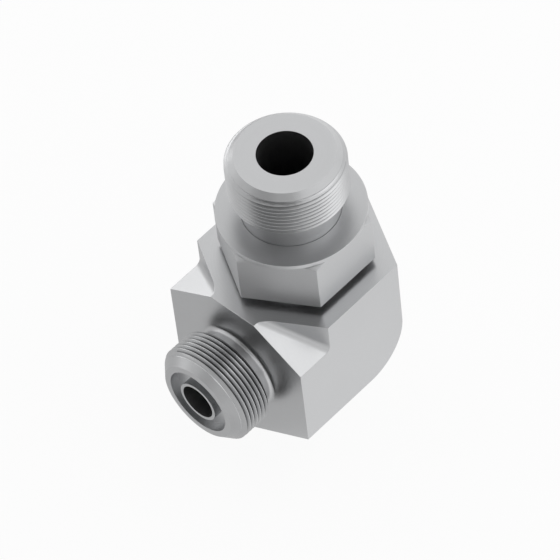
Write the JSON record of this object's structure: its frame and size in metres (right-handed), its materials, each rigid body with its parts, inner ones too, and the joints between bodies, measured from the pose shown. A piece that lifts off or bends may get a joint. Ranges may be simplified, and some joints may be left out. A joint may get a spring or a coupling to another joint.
{
  "type": "adjustable stud elbow fitting",
  "caption": "Right-angle hydraulic elbow: a male stud end with lock nut and back-up washer on one arm, a threaded face-seal port on the other.",
  "frame": {"origin": "the point where the stud's axis and the port's axis cross, inside the body", "axes": "+Z along the stud towards its threaded end, -Y along the port towards its sealing face, +X to the right when the port points at the viewer"},
  "size_m": [0.07, 0.1021, 0.1349],
  "materials": {
    "body_plating": "satin",
    "nut_plating": "satin",
    "washer_plating": "satin"
  },
  "bodies": {
    "fitting": {"elbow_body": "body_plating"},
    "washer": {"backup_washer": "washer_plating"},
    "nut": {"lock_nut": "nut_plating"}
  },
  "joints": [
    {"name": "washer_slide", "type": "slide", "parent": "fitting", "child": "washer", "axis": [0, 0, 1], "range_m": [-0.00281, 0.01251]},
    {"name": "nut_turn", "type": "hinge", "parent": "washer", "child": "nut", "pos_m": [0, 0, 0.0486], "axis": [0, 0, 1], "range_deg": [-504, 2250]}
  ],
  "couplings": [
    {"joint": "washer_slide", "follows": "nut_turn", "m_per_rad": 0.00031831}
  ]
}
